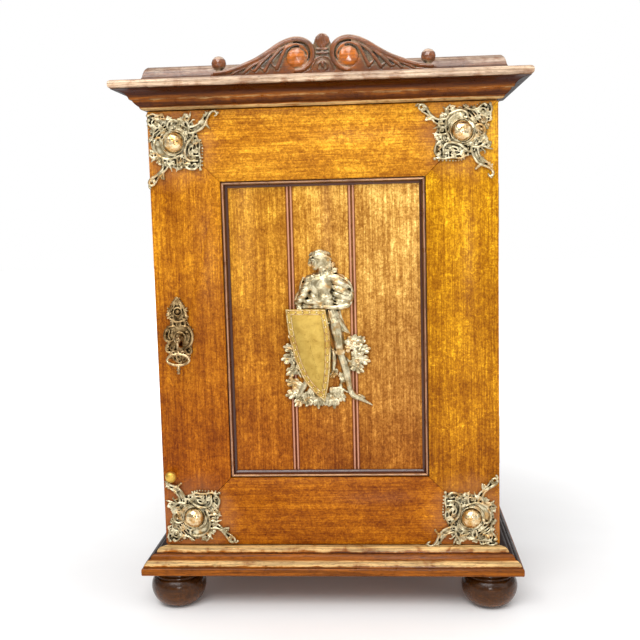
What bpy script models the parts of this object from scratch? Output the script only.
"""An oak key cabinet on bun feet, with a mitred framed door, cast brass mounts and a folding key.

Run it with: blender --background --python part.py
Units are metres, +Z is up and the door faces -Y. The origin is the middle of the footprint, on
the surface that the feet stand on. Profiles and outlines are given in millimetres.
"""

from math import cos, pi, radians, sin

import bmesh
import bpy
from mathutils import Matrix, Vector

MM = 0.001
GAP = 0.3 * MM  # clearance between neighbouring pieces
MITRE_GAP = 0.2 * MM  # how far each mitred end stops short of the mitre plane

# Case
HALF_WIDTH = 0.175  # door edge, and the line that all mouldings project from
FRONT_Y = -0.0805  # door front face
BACK_Y = 0.111
SIDE_OUTER = HALF_WIDTH - GAP
SIDE_THICKNESS = 0.012
SIDE_INNER = SIDE_OUTER - SIDE_THICKNESS
CASE_FRONT_Y = -0.0580  # front edges of the side panels
BACK_THICKNESS = 0.006
REBATE_DEPTH = 0.0065
FLOOR_TOP_Z = 0.0650  # upper face of the bottom board
CEILING_Z = 0.5175  # lower face of the top board
TOP_BOARD_TOP_Z = 0.5365
BOTTOM_BOARD_LOW_Z = 0.0475
FOOT_X = 0.165
FOOT_FRONT_Y = -0.0725
FOOT_BACK_Y = 0.080

# Door
DOOR_BOTTOM_Z = 0.0660
DOOR_TOP_Z = 0.5165
DOOR_BACK_Y = -0.0588
MEMBER_WIDTH = 0.0715
GROOVE_DEPTH = 0.009
PANEL_IN_GROOVE = 0.008
PANEL_FRONT_Y = -0.0725
PANEL_BACK_Y = -0.0625
PANEL_JOINTS = (-0.0346, 0.0285)  # x of the two tongued joints between the three boards
OPENING_HALF_WIDTH = HALF_WIDTH - MEMBER_WIDTH
OPENING_BOTTOM_Z = DOOR_BOTTOM_Z + MEMBER_WIDTH
OPENING_TOP_Z = DOOR_TOP_Z - MEMBER_WIDTH
PANEL_HALF_WIDTH = OPENING_HALF_WIDTH + PANEL_IN_GROOVE

# Hinges
HINGE_AXIS = (0.1752, -0.0584)
HINGE_CENTRES_Z = {"upper": 0.4115, "lower": 0.1710}
HINGE_HALF_HEIGHT = 0.025
KNUCKLE_RADIUS = 2.75 * MM
KNUCKLE_CLEARANCE = 0.35 * MM
PIN_RADIUS = 1.2 * MM
PIN_HOLE_RADIUS = 1.3 * MM
LEAF_THICKNESS = 1.2 * MM
LEAF_X = (0.1635, 0.1720)

# Lock and key
KEY_X = -0.1505
KEY_Z = 0.2865
SHANK_RADIUS = 2.2 * MM
KEYHOLE_RADIUS = 2.9 * MM
KEYHOLE_SLOT = (3.2 * MM, 9.0 * MM)  # width, and depth below the key's axis
BIT_REACH = 8.0 * MM
BOW_PIVOT_Y = -0.0945
FORK_HALF_GAP = 1.5 * MM
PIVOT_RADIUS = 0.8 * MM
BLADE_HALF = 1.2 * MM  # half thickness of the key's bit and of the bow
BOW_DROP = 20.6 * MM  # from the pivot down to the middle of the ring
BOW_OUTER = (13.0, 7.2)  # half width and half height of the ring, in millimetres
BOW_INNER = (10.2, 4.4)
BOW_TIP = [(1.4, 6.4), (2.3, 9.0), (1.3, 10.8), (2.0, 13.2), (0.7, 15.4)]
LOCK_X = (-0.1618, -0.1290)
LOCK_Y = (-0.0585, -0.0465)
LOCK_HALF_HEIGHT = 0.027
LOCK_WALL = 1.5 * MM
BOLT_Y = (-0.0558, -0.0512)
BOLT_Z = (KEY_Z + 0.0063, KEY_Z + 0.0167)
BOLT_X = (-0.1616, -0.1335)
BOLT_THROW = 0.0070
SPRING_HALF_LENGTH = 0.0125
SPRING_THICKNESS = 0.6 * MM

# Hook rails
HOOK_RAILS_Z = {"top": 0.455, "middle": 0.325, "bottom": 0.195}
HOOK_SPACING = 0.055
HOOKS_PER_RAIL = 5
HOOK_WIRE_RADIUS = 1.3 * MM

CREST_X = 0.0035  # the carved crest stands a little to the right of the middle

# Outlines and profiles in millimetres
CORNICE_PROFILE = [
    (0, 452.5), (2.6, 452.5), (4.6, 453.2), (5.6, 454.4), (5.9, 455.6), (8.9, 457.8),
    (11.3, 460.8), (11.6, 462.1), (13.8, 462.2), (15.1, 465.7), (18.2, 468.6), (22.8, 470.6),
    (28.5, 471.5), (0, 471.5),
]
BASE_PROFILE = [
    (0, 0), (5, 0), (7.8, -1.6), (8.8, -4.8), (8.9, -5.3), (11.4, -5.4), (13.6, -7.2),
    (14.3, -10.4), (16.2, -10.6), (19.4, -13.2), (20.8, -17.5), (0, -17.5),
]
PROFILE_LIFT = 65.0  # the profiles' heights are counted from the bottom board's upper face
CROWN_PROFILE = [(28.0, 471.8), (30.2, 473.2), (30.5, 475.9), (30.2, 478.6), (28.0, 480.0)]
PLINTH_PROFILE = [(21.6, -25.6), (22.4, -24.6), (22.4, -18.8), (21.6, -17.8)]
ATTIC_PROFILE = [  # distance in from the edge, height
    (0, 480.3), (0, 485.4), (1.4, 487.0), (5.0, 487.6), (8.4, 490.6), (9.4, 495.4),
    (11.0, 499.4), (14.0, 502.0),
]
ATTIC_HALF_WIDTH = 0.1975
ATTIC_FRONT_Y = -0.0470
FOOT_PROFILE = [
    (13.0, 0), (20.4, 2.6), (25.2, 7.6), (28.2, 14.0), (29.2, 20.4), (28.0, 26.4), (25.4, 30.6),
    (23.6, 31.4), (24.4, 32.4), (24.0, 33.6), (22.4, 34.6), (22.0, 36.6), (23.2, 39.1),
]
CREST_OUTLINE = [
    (0, 480.3), (112, 480.3), (112, 488.6), (98, 490.2), (88, 492.6), (77, 496.6), (66, 500.8),
    (54, 507.6), (45, 513.4), (35, 517.6), (25, 519.2), (16, 517.4), (9, 513.2), (6.4, 519.4),
    (0, 522.2),
]
CREST_BALL = (104, 496.6, 7.5)
CREST_Y = (-0.0825, -0.0710)
MOUNT_OUTLINE = [
    (2, 2), (12, 3), (22, 8), (33, 9), (41, 5), (47, 9), (47, 16), (52, 20), (58, 15), (61, 7),
    (67, 2), (75, 3), (73, 8), (67, 10), (65, 17), (59, 24), (54, 29), (57, 37), (56, 47),
]
MOUNT_INNER_CORNER = (58, 58)
MOUNT_THICKNESS = 2.4 * MM
BOSS_IN_MOUNT = (27.3, 30.0)
BOSS_PLACES = {
    "top_left": (-148.3, 420.0),
    "top_right": (139.6, 422.9),
    "bottom_left": (-143.0, 30.8),
    "bottom_right": (145.8, 29.5),
}
ESCUTCHEON_OUTLINE = [
    (-1.0, 43.2), (2.6, 38.8), (5.4, 33.5), (7.4, 28), (8.9, 23.4), (7.6, 19), (9.6, 14),
    (12.6, 10), (14.8, 3.2), (14.2, -3.5), (11.2, -9), (12.6, -13.5), (9.4, -18.5), (6.5, -24),
    (0, -27.5), (-7, -25), (-11.8, -19), (-14.6, -11.6), (-13, -6), (-16.4, 2.6), (-13, 10),
    (-9.8, 14), (-9.4, 19), (-12.4, 24.6), (-9.6, 31), (-6.2, 37), (-3.6, 41.4),
]
ESCUTCHEON_THICKNESS = 3.0 * MM
FIGURE_OUTLINE = [
    (-8.5, 286.5), (-4, 292), (4, 292), (9, 291.5), (11.5, 286), (21, 281), (27, 272),
    (28.4, 264), (26.5, 256), (20.3, 248), (14, 243), (15, 236), (20, 224), (17.5, 215),
    (25, 212), (31, 217), (38, 213), (42.5, 202), (45, 192), (41, 180), (34, 176), (27, 178),
    (25, 168), (28.5, 158), (36, 152), (47, 146.5), (36, 147.5), (27, 149.5), (22, 158),
    (16, 161), (12, 152), (8, 146), (3.5, 143.5), (-1, 149), (-8, 150), (-14, 142.5),
    (-21, 144), (-27, 151), (-32, 155), (-38, 148.5), (-44, 153), (-46, 160), (-42, 168),
    (-35, 168), (-32, 172), (-36, 177), (-42, 179), (-41, 186), (-47, 194), (-48.5, 201),
    (-43, 206), (-45.5, 214), (-41, 221), (-38, 224), (-38, 246), (-33, 252), (-30.5, 258),
    (-27, 266), (-23, 275), (-18, 281.5), (-12, 284.5),
]
FIGURE_HEAD = ((-4.2, 297.6), (8.6, 11.0))  # centre and half sizes of the head's plain oval
SHIELD_OUTLINE = [
    (-40.9, 249.1), (-0.1, 248.3), (3.2, 232), (4.4, 214), (4.0, 190), (1.4, 170), (-2.5, 152.7),
    (-11.4, 160.1), (-22.7, 173.3), (-30.4, 190.4), (-35.8, 211.3), (-39.2, 229.5),
]
FIGURE_Y = (PANEL_FRONT_Y - GAP - 5.0 * MM, PANEL_FRONT_Y - GAP)
SHIELD_Y = (FIGURE_Y[0] - GAP - 2.0 * MM, FIGURE_Y[0] - GAP)
BOSS_PROFILE = [(10.0, 0), (9.9, 2.2), (9.0, 4.4), (7.0, 6.2), (4.2, 7.3), (1.2, 7.7)]
KNOB_PROFILE = [(3.1, 0), (3.1, 3.0), (5.2, 4.2), (6.2, 6.6), (5.7, 9.0), (3.8, 10.8), (1.0, 11.4)]
KNOB_PLACE = (-165.4, 76.1)
KNOB_ROOM = 4.8 * MM

# Name: base colour, roughness, metallic
LOOKS = {
    "oak_rail": ((0.40, 0.17, 0.045), 0.35, 0.0),
    "oak_panel": ((0.33, 0.12, 0.030), 0.35, 0.0),
    "oak_case": ((0.30, 0.11, 0.030), 0.40, 0.0),
    "oak_moulding": ((0.16, 0.055, 0.020), 0.35, 0.0),
    "oak_foot": ((0.07, 0.028, 0.012), 0.30, 0.0),
    "brass_antique": ((0.45, 0.38, 0.22), 0.40, 1.0),
    "brass_bright": ((0.75, 0.55, 0.22), 0.30, 1.0),
    "steel_lock": ((0.30, 0.29, 0.27), 0.45, 1.0),
}


# ---------------------------------------------------------------- helpers


def clear_scene():
    for obj in list(bpy.data.objects):
        bpy.data.objects.remove(obj)


def make_looks():
    """One Principled material for each entry of LOOKS."""
    for name, (colour, roughness, metallic) in LOOKS.items():
        shader = bpy.data.materials.new(name)
        shader.use_nodes = True
        principled = shader.node_tree.nodes["Principled BSDF"]
        principled.inputs["Base Color"].default_value = (*colour, 1.0)
        principled.inputs["Roughness"].default_value = roughness
        principled.inputs["Metallic"].default_value = metallic


def make_axis(name, location, parent=None):
    """An empty on a joint's axis. What moves about the joint is its child."""
    empty = bpy.data.objects.new(name, None)
    empty.empty_display_size = 0.02
    bpy.context.scene.collection.objects.link(empty)
    empty["world_place"] = location
    keep_place(empty, location, parent)
    return empty


def keep_place(obj, location, parent):
    """Parents an object, and keeps its world place, given for an unrotated chain of parents."""
    obj.location = location
    if parent:
        obj.parent = parent
        obj.matrix_parent_inverse = Matrix.Translation(parent["world_place"]).inverted()


def loft(rings):
    """A closed mesh through rings of points, with a flat cap on the first and the last ring."""
    mesh = bmesh.new()
    loops = [[mesh.verts.new(point) for point in ring] for ring in rings]
    for lower, upper in zip(loops, loops[1:]):
        for i, vertex in enumerate(lower):
            j = (i + 1) % len(lower)
            mesh.faces.new((vertex, lower[j], upper[j], upper[i]))
    mesh.faces.new(reversed(loops[0]))
    mesh.faces.new(loops[-1])
    bmesh.ops.recalc_face_normals(mesh, faces=mesh.faces)
    return mesh


def along(axis, a, b, c):
    """The point at c along an axis, with a and b on the other two axes in X, Y, Z order."""
    return {"X": (c, a, b), "Y": (a, c, b), "Z": (a, b, c)}[axis]


def box(x, y, z):
    corners = [(x[0], y[0]), (x[1], y[0]), (x[1], y[1]), (x[0], y[1])]
    return prism(corners, "Z", z)


def prism(outline, axis, span):
    """A flat outline carried along an axis from one end of the span to the other."""
    return loft([[along(axis, a, b, c) for a, b in outline] for c in span])


def full_turn(count):
    """Angles evenly round a circle, starting half a step past the first axis."""
    return [2 * pi * (i + 0.5) / count for i in range(count)]


def circle(radius, count, centre=(0, 0)):
    return [(centre[0] + radius * cos(t), centre[1] + radius * sin(t)) for t in full_turn(count)]


def turned(profile, axis, centre, start, direction=1, count=20):
    """A turned solid. The profile's millimetres are (radius, distance from start)."""
    rings = []
    for radius, distance in profile:
        c = start + direction * distance * MM
        rings.append([along(axis, a, b, c) for a, b in circle(radius * MM, count, centre)])
    return loft(rings)


def cylinder(radius, axis, centre, span, count=16):
    return prism(circle(radius, count, centre), axis, span)


def smooth_outline(points, steps=2):
    """A closed Catmull-Rom curve through the points, with this many segments for each span."""
    vectors = [Vector(point) for point in points]
    count = len(vectors)
    curve = []
    for i in range(count):
        before, start, end, after = (vectors[(i + k) % count] for k in (-1, 0, 1, 2))
        for step in range(steps):
            t = step / steps
            slope = (end - before) * t
            bend = (2 * before - 5 * start + 4 * end - after) * t**2
            twist = (3 * start - before - 3 * end + after) * t**3
            curve.append(tuple(start + 0.5 * (slope + bend + twist)))
    return curve


def raised(outline):
    """An outline given on the door, in millimetres, as metres above the feet."""
    return [(x * MM, (z + PROFILE_LIFT) * MM) for x, z in outline]


def add(name, mesh, look, parent, smooth=False):
    """A named object from a mesh in world coordinates, with its origin on its parent's axis."""
    origin = Vector(parent["world_place"])
    bmesh.ops.translate(mesh, verts=mesh.verts, vec=-origin)
    data = bpy.data.meshes.new(name)
    mesh.to_mesh(data)
    mesh.free()
    data.materials.append(bpy.data.materials[look])
    if smooth:
        data.shade_smooth()
        data.set_sharp_from_angle(angle=radians(40))
    obj = bpy.data.objects.new(name, data)
    bpy.context.scene.collection.objects.link(obj)
    keep_place(obj, origin, parent)
    return obj


def shape_with(obj, operation, *meshes):
    """Joins hidden tool solids to an object, or cuts them out of it."""
    for mesh in meshes:
        number = len(obj.modifiers)
        tool = add(f"{obj.name}_tool_{number}", mesh, obj.active_material.name, obj.parent)
        tool.hide_render = True
        tool.display_type = "WIRE"
        modifier = obj.modifiers.new(f"{operation.lower()}_{number}", "BOOLEAN")
        modifier.operation = operation
        modifier.solver = "EXACT"
        modifier.object = tool


def join(obj, *meshes):
    shape_with(obj, "UNION", *meshes)


def cut(obj, *meshes):
    shape_with(obj, "DIFFERENCE", *meshes)


# ---------------------------------------------------------------- mitred runs


def case_run(side, profile):
    """A moulding along one side of the case, mitred at the front corners."""
    section = [(e * MM, (z + PROFILE_LIFT) * MM) for e, z in profile]
    if side == "front":
        ends = (-1, 1)
        rings = [
            [(s * (HALF_WIDTH + e - MITRE_GAP), FRONT_Y - e, z) for e, z in section] for s in ends
        ]
        return loft(rings)
    sign = -1 if side == "left" else 1
    front = [(sign * (HALF_WIDTH + e), FRONT_Y - e + MITRE_GAP, z) for e, z in section]
    back = [(sign * (HALF_WIDTH + e), BACK_Y, z) for e, z in section]
    return loft([front, back])


def frame_run(side, half_width, bottom, top, section):
    """One side of a mitred rectangle. The section is (distance in from the edge, y)."""
    rings = []
    for end in (0, 1):
        ring = []
        for u, y in section:
            inset = u + MITRE_GAP
            x_ends = (-half_width + inset, half_width - inset)
            z_ends = (bottom + inset, top - inset)
            place = {
                "left": (-half_width + u, y, z_ends[end]),
                "right": (half_width - u, y, z_ends[end]),
                "top": (x_ends[end], y, top - u),
                "bottom": (x_ends[end], y, bottom + u),
            }
            ring.append(place[side])
        rings.append(ring)
    return loft(rings)


def stepped_board(profile, half_width, front_y):
    """A board whose front and side edges follow a profile of (projection, height)."""
    rings = []
    for e, height in profile:
        x = half_width + e * MM
        y = front_y - e * MM
        z = (height + PROFILE_LIFT) * MM
        rings.append([(-x, y, z), (x, y, z), (x, BACK_Y, z), (-x, BACK_Y, z)])
    return loft(rings)


# ---------------------------------------------------------------- case


def make_side_panel(side, case):
    """A side panel, rebated along its back edge for the back panel."""
    sign = -1 if side == "left" else 1
    rebate_y = BACK_Y - BACK_THICKNESS - 2 * GAP
    section = [
        (sign * SIDE_OUTER, CASE_FRONT_Y),
        (sign * SIDE_OUTER, BACK_Y),
        (sign * (SIDE_INNER + REBATE_DEPTH), BACK_Y),
        (sign * (SIDE_INNER + REBATE_DEPTH), rebate_y),
        (sign * SIDE_INNER, rebate_y),
        (sign * SIDE_INNER, CASE_FRONT_Y),
    ]
    panel = prism(section, "Z", (FLOOR_TOP_Z + GAP, CEILING_Z - GAP))
    return add(f"side_panel_{side}", panel, "oak_case", case)


def make_case(case):
    left = make_side_panel("left", case)
    right = make_side_panel("right", case)
    cut_bolt_mortise(left)
    cut_hinge_recesses(right, CASE_FRONT_Y, 1)
    board_x = (-SIDE_OUTER, SIDE_OUTER)
    board_y = (FRONT_Y + GAP, BACK_Y)
    top = box(board_x, board_y, (CEILING_Z, TOP_BOARD_TOP_Z))
    add("top_board", top, "oak_case", case)
    bottom = box(board_x, board_y, (BOTTOM_BOARD_LOW_Z, FLOOR_TOP_Z))
    add("bottom_board", bottom, "oak_case", case)
    half = SIDE_INNER + REBATE_DEPTH - GAP
    back_y = (BACK_Y - BACK_THICKNESS - GAP, BACK_Y - GAP)
    back = box((-half, half), back_y, (FLOOR_TOP_Z + GAP, CEILING_Z - GAP))
    add("back_panel", back, "oak_case", case)


def make_mouldings(case):
    for side in ("front", "left", "right"):
        add(f"cornice_{side}", case_run(side, CORNICE_PROFILE), "oak_moulding", case)
        add(f"base_moulding_{side}", case_run(side, BASE_PROFILE), "oak_moulding", case)
    crown = stepped_board(CROWN_PROFILE, HALF_WIDTH, FRONT_Y)
    add("crown_board", crown, "oak_moulding", case)
    plinth = stepped_board(PLINTH_PROFILE, HALF_WIDTH, FRONT_Y)
    add("base_plate", plinth, "oak_moulding", case)
    attic = [(-inset, height) for inset, height in ATTIC_PROFILE]
    board = stepped_board(attic, ATTIC_HALF_WIDTH, ATTIC_FRONT_Y)
    add("attic_board", board, "oak_moulding", case)


def make_crest(case):
    """The carved crest: one cut-out board with a turned ball at each end."""
    right = CREST_OUTLINE[1:-1]
    left = [(-x, z) for x, z in reversed(right)]
    outline = [(x + CREST_X / MM, z) for x, z in right + [CREST_OUTLINE[-1]] + left]
    crest = add("crest", prism(raised(outline), "Y", CREST_Y), "oak_moulding", case)
    x, z, radius = CREST_BALL
    middle_y = sum(CREST_Y) / 2
    arc = [radians(a) for a in (-72, -45, -15, 15, 45, 72)]
    ball = [(radius * cos(a), radius * sin(a)) for a in arc]
    for sign in (-1, 1):
        centre = (CREST_X + sign * x * MM, (z + PROFILE_LIFT) * MM)
        join(crest, turned(ball, "Y", centre, middle_y, count=16))


def make_feet(case):
    for end, y in (("front", FOOT_FRONT_Y), ("back", FOOT_BACK_Y)):
        for side, sign in (("left", -1), ("right", 1)):
            foot = turned(FOOT_PROFILE, "Z", (sign * FOOT_X, y), 0)
            add(f"foot_{end}_{side}", foot, "oak_foot", case, smooth=True)


# ---------------------------------------------------------------- door


def make_door_frame(door):
    """Two stiles and two rails, mitred, with a groove for the panel on the inner edge."""
    groove_u = MEMBER_WIDTH - GROOVE_DEPTH
    groove_y = (PANEL_FRONT_Y - GAP, PANEL_BACK_Y + GAP)
    section = [
        (0, FRONT_Y), (MEMBER_WIDTH, FRONT_Y), (MEMBER_WIDTH, groove_y[0]),
        (groove_u, groove_y[0]), (groove_u, groove_y[1]), (MEMBER_WIDTH, groove_y[1]),
        (MEMBER_WIDTH, DOOR_BACK_Y), (0, DOOR_BACK_Y),
    ]
    names = {
        "left": "door_stile_left",
        "right": "door_stile_right",
        "top": "door_rail_top",
        "bottom": "door_rail_bottom",
    }
    for side, name in names.items():
        member = frame_run(side, HALF_WIDTH, DOOR_BOTTOM_Z, DOOR_TOP_Z, section)
        obj = add(name, member, "oak_rail", door)
        if side == "left":
            cut(obj, keyhole((FRONT_Y - 0.01, DOOR_BACK_Y + 0.01)))
        if side == "right":
            cut_hinge_recesses(obj, DOOR_BACK_Y, -1)


def bead(joint_x, side):
    """Front-face points of the bead beside a joint, from the board's face to the joint."""
    quirk_y = PANEL_FRONT_Y + 1.2 * MM
    radius = 1.4 * MM
    centre = 1.85 * MM
    points = [(3.9 * MM, PANEL_FRONT_Y), (3.7 * MM, quirk_y)]
    for i in range(5):
        angle = pi * i / 4
        points.append((centre + radius * cos(angle), quirk_y - 1.2 * MM * sin(angle)))
    points.append((0.25 * MM, quirk_y))
    return [(joint_x + side * x, y) for x, y in points]


def make_panel_boards(door):
    """Three tongued and grooved boards with a bead on each side of both joints."""
    span = (OPENING_BOTTOM_Z - PANEL_IN_GROOVE, OPENING_TOP_Z + PANEL_IN_GROOVE)
    middle_y = (PANEL_FRONT_Y + PANEL_BACK_Y) / 2
    half_tongue = 1.5 * MM
    edges = (None, *PANEL_JOINTS, None)
    names = ("panel_board_left", "panel_board_middle", "panel_board_right")
    for name, left, right in zip(names, edges, edges[1:]):
        section = []
        if left is None:
            section += [(-PANEL_HALF_WIDTH, PANEL_BACK_Y), (-PANEL_HALF_WIDTH, PANEL_FRONT_Y)]
        else:
            face_x = left + 0.25 * MM
            depth = 4.3 * MM
            section += [(face_x, PANEL_BACK_Y), (face_x, middle_y + half_tongue + GAP)]
            section += [(face_x + depth, middle_y + half_tongue + GAP)]
            section += [(face_x + depth, middle_y - half_tongue - GAP)]
            section += [(face_x, middle_y - half_tongue - GAP)]
            section += reversed(bead(left, 1))
        if right is None:
            section += [(PANEL_HALF_WIDTH, PANEL_FRONT_Y), (PANEL_HALF_WIDTH, PANEL_BACK_Y)]
        else:
            face_x = right - 0.25 * MM
            tip_x = face_x + 4.0 * MM
            section += bead(right, -1)
            section += [(face_x, middle_y - half_tongue), (tip_x, middle_y - half_tongue)]
            section += [(tip_x, middle_y + half_tongue), (face_x, middle_y + half_tongue)]
            section += [(face_x, PANEL_BACK_Y)]
        add(name, prism(section, "Z", span), "oak_panel", door)


def make_panel_mouldings(door):
    """The bead and cove strip planted round the panel, inside the frame."""
    foot_y = PANEL_FRONT_Y - GAP
    section = [
        (0.3, 0), (0.3, 5.2), (1.0, 5.2), (1.1, 6.2), (1.7, 6.9), (2.6, 6.9), (3.2, 6.2),
        (3.4, 4.6), (4.2, 2.6), (6.4, 1.4), (6.6, 0),
    ]
    section = [(u * MM, foot_y - height * MM) for u, height in section]
    for side in ("top", "bottom", "left", "right"):
        strip = frame_run(side, OPENING_HALF_WIDTH, OPENING_BOTTOM_Z, OPENING_TOP_Z, section)
        add(f"panel_moulding_{side}", strip, "oak_moulding", door)


def mount_outline():
    """The corner casting's outline, the same on both sides of its diagonal."""
    mirrored = [(b, a) for a, b in reversed(MOUNT_OUTLINE[1:])]
    return smooth_outline(MOUNT_OUTLINE + [MOUNT_INNER_CORNER] + mirrored)


def make_corner_mounts(door):
    """The same casting in each corner, turned a quarter each time, with a domed boss on it."""
    back_y = FRONT_Y - GAP
    front_y = back_y - MOUNT_THICKNESS
    for corner, (boss_x, boss_z) in BOSS_PLACES.items():
        vertical, horizontal = corner.split("_")
        inward_x = 1 if horizontal == "left" else -1
        inward_z = 1 if vertical == "bottom" else -1
        swapped = inward_x == inward_z
        outline = []
        for u, v in mount_outline():
            du, dv = u - BOSS_IN_MOUNT[0], v - BOSS_IN_MOUNT[1]
            dx, dz = (dv, du) if swapped else (du, dv)
            outline.append((boss_x + inward_x * dx, boss_z + inward_z * dz))
        plate = prism(raised(outline), "Y", (back_y, front_y))
        mount = add(f"corner_mount_{corner}", plate, "brass_antique", door)
        if corner == "bottom_left":
            cut(mount, knob_room())
        centre = raised([(boss_x, boss_z)])[0]
        boss = turned(BOSS_PROFILE, "Y", centre, front_y - GAP, -1, 16)
        add(f"corner_boss_{corner}", boss, "brass_bright", door, smooth=True)


def knob_room():
    """The space that the lower left casting's tail leaves free under the pull knob."""
    x, z = raised([KNOB_PLACE])[0]
    return box((x - 0.02, x + 0.02), (FRONT_Y - 0.01, FRONT_Y + 0.01), (z - KNOB_ROOM, z + 0.02))


def make_figure(door):
    """The cast page with a shield: a flat-backed relief, and the shield's plate in front."""
    relief = prism(raised(smooth_outline(FIGURE_OUTLINE)), "Y", FIGURE_Y)
    figure = add("figure_relief", relief, "brass_antique", door)
    (x, z), (half_width, half_height) = FIGURE_HEAD
    oval = [(x + half_width * cos(t), z + half_height * sin(t)) for t in full_turn(24)]
    join(figure, prism(raised(oval), "Y", FIGURE_Y))
    shield = prism(raised(SHIELD_OUTLINE), "Y", SHIELD_Y)
    add("figure_shield", shield, "brass_bright", door)


def make_pull_knob(door):
    centre = raised([KNOB_PLACE])[0]
    knob = turned(KNOB_PROFILE, "Y", centre, FRONT_Y - GAP, -1, 16)
    add("pull_knob", knob, "brass_bright", door, smooth=True)


# ---------------------------------------------------------------- hinges


def cut_hinge_recesses(obj, face_y, inward):
    """Leaf recesses and knuckle hollows in the door's back or the side panel's front edge."""
    recess = LEAF_THICKNESS + GAP
    y = sorted((face_y - inward * 0.002, face_y + inward * recess))
    for z in HINGE_CENTRES_Z.values():
        half = HINGE_HALF_HEIGHT + GAP
        cut(obj, box((LEAF_X[0] - GAP, 0.1800), y, (z - half, z + half)))
        half += 0.0035
        radius = KNUCKLE_RADIUS + KNUCKLE_CLEARANCE
        cut(obj, cylinder(radius, "Z", HINGE_AXIS, (z - half, z + half)))


def make_leaf(name, z, face_y, inward, knuckles, parent):
    """A hinge leaf: a plate let into the wood, with its share of the three knuckles."""
    y = sorted((face_y, face_y + inward * LEAF_THICKNESS))
    plate = box(LEAF_X, y, (z - HINGE_HALF_HEIGHT, z + HINGE_HALF_HEIGHT))
    leaf = add(name, plate, "brass_antique", parent)
    for low, high in knuckles:
        span = (z + low, z + high)
        join(leaf, box((LEAF_X[1] - 0.001, HINGE_AXIS[0] - 0.0017), y, span))
        join(leaf, cylinder(KNUCKLE_RADIUS, "Z", HINGE_AXIS, span))
    bore = (z - HINGE_HALF_HEIGHT - 0.01, z + HINGE_HALF_HEIGHT + 0.01)
    cut(leaf, cylinder(PIN_HOLE_RADIUS, "Z", HINGE_AXIS, bore))


def make_hinges(case, door):
    third = HINGE_HALF_HEIGHT / 3
    outer = [(-HINGE_HALF_HEIGHT, -third - GAP), (third + GAP, HINGE_HALF_HEIGHT)]
    inner = [(-third, third)]
    reach = HINGE_HALF_HEIGHT / MM
    pin_radius = PIN_RADIUS / MM
    profile = [
        (1.2, -reach - 2.6), (2.2, -reach - 2.0), (2.2, -reach - 0.3),
        (pin_radius, -reach - 0.3), (pin_radius, reach + 0.3),
        (2.2, reach + 0.3), (2.2, reach + 2.0), (1.2, reach + 2.6),
    ]
    for level, z in HINGE_CENTRES_Z.items():
        make_leaf(f"hinge_{level}_case_leaf", z, CASE_FRONT_Y, 1, outer, case)
        make_leaf(f"hinge_{level}_door_leaf", z, DOOR_BACK_Y, -1, inner, door)
        pin = turned(profile, "Z", HINGE_AXIS, z, count=16)
        add(f"hinge_{level}_pin", pin, "brass_antique", case, smooth=True)


# ---------------------------------------------------------------- lock and key


def keyhole(span):
    """A round hole with a slot below it, right through the given span of Y."""
    half, depth = KEYHOLE_SLOT[0] / 2, KEYHOLE_SLOT[1]
    outline = [(KEY_X - half, KEY_Z - depth), (KEY_X + half, KEY_Z - depth)]
    first = -radians(55)
    count = 12
    for i in range(count + 1):
        angle = first + (pi - 2 * first) * i / count
        outline.append((KEY_X + KEYHOLE_RADIUS * cos(angle), KEY_Z + KEYHOLE_RADIUS * sin(angle)))
    return prism(outline, "Y", span)


def make_escutcheon(door):
    outline = [(KEY_X + x * MM, KEY_Z + z * MM) for x, z in smooth_outline(ESCUTCHEON_OUTLINE)]
    back_y = FRONT_Y - GAP
    plate = prism(outline, "Y", (back_y - ESCUTCHEON_THICKNESS, back_y))
    escutcheon = add("escutcheon", plate, "brass_antique", door)
    cut(escutcheon, keyhole((back_y - 0.01, back_y + 0.01)))


def make_lock_case(door):
    """The box screwed to the back of the stile, its cover, and the spring above the bolt."""
    z = (KEY_Z - LOCK_HALF_HEIGHT, KEY_Z + LOCK_HALF_HEIGHT)
    lock = add("lock_case", box(LOCK_X, LOCK_Y, z), "steel_lock", door)
    inner_x = (LOCK_X[0] + LOCK_WALL, LOCK_X[1] - LOCK_WALL)
    inner_y = (LOCK_Y[0] + LOCK_WALL, LOCK_Y[1] + 0.01)
    cut(lock, box(inner_x, inner_y, (z[0] + LOCK_WALL, z[1] - LOCK_WALL)))
    cut(lock, keyhole((LOCK_Y[0] - 0.01, LOCK_Y[0] + 0.004)))
    slot_y = (BOLT_Y[0] - GAP, BOLT_Y[1] + GAP)
    slot_z = (BOLT_Z[0] - GAP, BOLT_Z[1] + GAP)
    cut(lock, box((LOCK_X[0] - 0.01, LOCK_X[0] + 0.004), slot_y, slot_z))
    cover = box(LOCK_X, (LOCK_Y[1] + GAP, LOCK_Y[1] + 1.5 * MM), z)
    add("lock_cover", cover, "steel_lock", door)
    bottom_z = BOLT_Z[1] + GAP
    rise = z[1] - LOCK_WALL - GAP - SPRING_THICKNESS - bottom_z
    middle_x = sum(LOCK_X) / 2
    steps = [i / 5 for i in range(-5, 6)]
    lower = [(middle_x + SPRING_HALF_LENGTH * t, bottom_z + rise * t**2) for t in steps]
    upper = [(x, height + SPRING_THICKNESS) for x, height in reversed(lower)]
    spring_y = (BOLT_Y[0] + 0.0005, BOLT_Y[1] - 0.0005)
    add("lock_spring", prism(lower + upper, "Y", spring_y), "steel_lock", door)


def make_bolt(bolt_axis):
    """The sliding bolt, with the wide notch on its lower edge that the key's bit works in."""
    bolt = add("lock_bolt", box(BOLT_X, BOLT_Y, BOLT_Z), "steel_lock", bolt_axis)
    notch_x = (KEY_X - 0.0025, KEY_X + 0.0095)
    notch_z = (BOLT_Z[0] - 0.01, KEY_Z + BIT_REACH + 0.0008)
    cut(bolt, box(notch_x, (BOLT_Y[0] - 0.01, BOLT_Y[1] + 0.01), notch_z))


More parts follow.
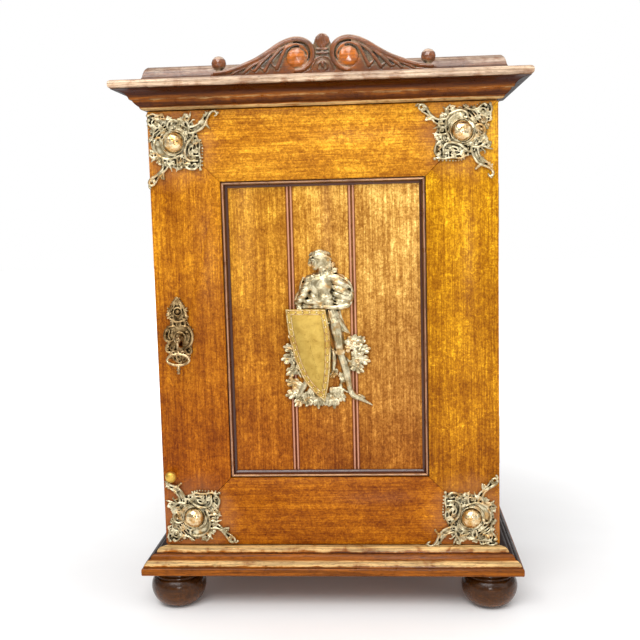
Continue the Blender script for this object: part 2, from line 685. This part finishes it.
def bolt_space(x, margin):
    """A box round the bolt's path, this much larger than the bolt on its four long faces."""
    y = (BOLT_Y[0] - margin, BOLT_Y[1] + margin)
    return box(x, y, (BOLT_Z[0] - margin, BOLT_Z[1] + margin))


def cut_bolt_mortise(side_panel):
    """The mortise that the bolt shoots into, and the recess of the strike plate over it."""
    cut(side_panel, bolt_space((-SIDE_INNER - BOLT_THROW - 0.0010, -SIDE_INNER + 0.01), 0.0006))
    recess_x = (-SIDE_INNER - 0.0015, -SIDE_INNER + 0.01)
    cut(side_panel, box(recess_x, (-0.0590, -0.0477), (KEY_Z - 0.0023, KEY_Z + 0.0253)))


def make_strike(case):
    plate_x = (-SIDE_INNER - 0.0012, -SIDE_INNER)
    plate = box(plate_x, (-0.0578, -0.0480), (KEY_Z - 0.0020, KEY_Z + 0.0250))
    strike = add("strike_plate", plate, "brass_antique", case)
    cut(strike, bolt_space((plate_x[0] - 0.01, plate_x[1] + 0.01), 0.0005))


def make_key(key_axis):
    """The key: a forked head outside the door, a collar, a shank and a bit inside the lock."""
    end_y = LOCK_Y[1] - 0.0010
    collar_y = FRONT_Y - GAP - ESCUTCHEON_THICKNESS - 0.0010
    profile = [
        (1.6, BOW_PIVOT_Y - 0.0030), (3.3, BOW_PIVOT_Y - 0.0018), (3.9, BOW_PIVOT_Y + 0.0002),
        (3.9, BOW_PIVOT_Y + 0.0040), (2.9, BOW_PIVOT_Y + 0.0056), (3.8, collar_y - 0.0022),
        (3.8, collar_y), (SHANK_RADIUS / MM, collar_y), (SHANK_RADIUS / MM, end_y),
    ]
    profile = [(radius, y / MM) for radius, y in profile]
    key = add("key", turned(profile, "Y", (KEY_X, KEY_Z), 0, count=16), "brass_antique", key_axis)
    bit_x = (KEY_X - BLADE_HALF, KEY_X + BLADE_HALF)
    bit_y = (LOCK_Y[0] + LOCK_WALL + 0.0006, BOLT_Y[1] - 0.0004)
    join(key, box(bit_x, bit_y, (KEY_Z - BIT_REACH, KEY_Z - 0.001)))
    fork_x = (KEY_X - FORK_HALF_GAP, KEY_X + FORK_HALF_GAP)
    fork_y = (BOW_PIVOT_Y - 0.01, BOW_PIVOT_Y + 0.0030)
    cut(key, box(fork_x, fork_y, (KEY_Z - 0.01, KEY_Z + 0.01)))
    bore_x = (KEY_X - 0.01, KEY_X + 0.01)
    cut(key, cylinder(PIVOT_RADIUS + 0.1 * MM, "X", (BOW_PIVOT_Y, KEY_Z), bore_x, 12))
    pin_x = (KEY_X - 0.0037, KEY_X + 0.0037)
    pin = cylinder(PIVOT_RADIUS, "X", (BOW_PIVOT_Y, KEY_Z), pin_x, 12)
    add("key_pivot_pin", pin, "brass_antique", key_axis)


def oval(half_sizes, middle_z):
    """An ellipse round the key's axis, by its half width and half height in millimetres."""
    width, height = (half * MM for half in half_sizes)
    return [(KEY_X + width * cos(t), middle_z + height * sin(t)) for t in full_turn(24)]


def make_bow(bow_axis):
    """The hinged bow: an eye on the pivot, a stem, an oval ring and a finial, hanging down."""
    x = (KEY_X - BLADE_HALF, KEY_X + BLADE_HALF)
    stem_y = (BOW_PIVOT_Y - BLADE_HALF, BOW_PIVOT_Y + BLADE_HALF)
    ring_z = KEY_Z - BOW_DROP
    eye = cylinder(2.4 * MM, "X", (BOW_PIVOT_Y, KEY_Z), x, 16)
    bow = add("key_bow", eye, "brass_antique", bow_axis)
    join(bow, box(x, stem_y, (ring_z + BOW_INNER[1] * MM + 0.0005, KEY_Z - 0.0010)))
    join(bow, prism(oval(BOW_OUTER, ring_z), "Y", (BOW_PIVOT_Y - 1.4 * MM, BOW_PIVOT_Y + 1.4 * MM)))
    cut(bow, prism(oval(BOW_INNER, ring_z), "Y", (BOW_PIVOT_Y - 0.01, BOW_PIVOT_Y + 0.01)))
    join(bow, turned(BOW_TIP, "Z", (KEY_X, BOW_PIVOT_Y), ring_z, -1, 12))
    bore_x = (x[0] - 0.01, x[1] + 0.01)
    cut(bow, cylinder(PIVOT_RADIUS + 0.1 * MM, "X", (BOW_PIVOT_Y, KEY_Z), bore_x, 12))


# ---------------------------------------------------------------- hook rails


def hook(x, z, root_y):
    """A bent wire hook: out of the rail, down in a bow and up to a tip."""
    path = [(0, 0), (4, 0), (8, -1.5), (11.5, -4.5), (15.5, -6), (19.5, -4.5), (21.5, -1), (22, 4)]
    points = [Vector((root_y - out * MM, z + up * MM)) for out, up in path]
    rings = []
    for i, point in enumerate(points):
        ahead = points[min(i + 1, len(points) - 1)] - points[max(i - 1, 0)]
        across = Vector((-ahead.y, ahead.x)).normalized()
        ring = []
        for t in full_turn(8):
            offset = across * HOOK_WIRE_RADIUS * sin(t)
            ring.append((x + HOOK_WIRE_RADIUS * cos(t), point.x + offset.x, point.y + offset.y))
        rings.append(ring)
    return loft(rings)


def make_hook_rails(case):
    """Brass rails on the back panel, each with a row of hooks riveted into it."""
    back_y = BACK_Y - BACK_THICKNESS - 2 * GAP
    face_y = back_y - 2.0 * MM
    half_length = HOOK_SPACING * (HOOKS_PER_RAIL - 1) / 2 + 0.020
    for level, z in HOOK_RAILS_Z.items():
        bar = box((-half_length, half_length), (face_y, back_y), (z - 0.006, z + 0.006))
        rail = add(f"hook_rail_{level}", bar, "brass_antique", case)
        for i in range(HOOKS_PER_RAIL):
            x = (i - (HOOKS_PER_RAIL - 1) / 2) * HOOK_SPACING
            join(rail, hook(x, z, face_y + 0.001))


# ---------------------------------------------------------------- assembly


def main():
    clear_scene()
    make_looks()
    case = make_axis("case_frame", (0, 0, 0))
    door = make_axis("door_hinge_axis", (*HINGE_AXIS, 0), case)
    key_axis = make_axis("key_axis", (KEY_X, BOW_PIVOT_Y, KEY_Z), door)
    bow_axis = make_axis("bow_axis", (KEY_X, BOW_PIVOT_Y, KEY_Z), key_axis)
    bolt_axis = make_axis("bolt_axis", (BOLT_X[0], sum(BOLT_Y) / 2, sum(BOLT_Z) / 2), door)
    make_case(case)
    make_mouldings(case)
    make_crest(case)
    make_feet(case)
    make_hook_rails(case)
    make_strike(case)
    make_door_frame(door)
    make_panel_boards(door)
    make_panel_mouldings(door)
    make_corner_mounts(door)
    make_figure(door)
    make_pull_knob(door)
    make_hinges(case, door)
    make_escutcheon(door)
    make_lock_case(door)
    make_bolt(bolt_axis)
    make_key(key_axis)
    make_bow(bow_axis)


main()
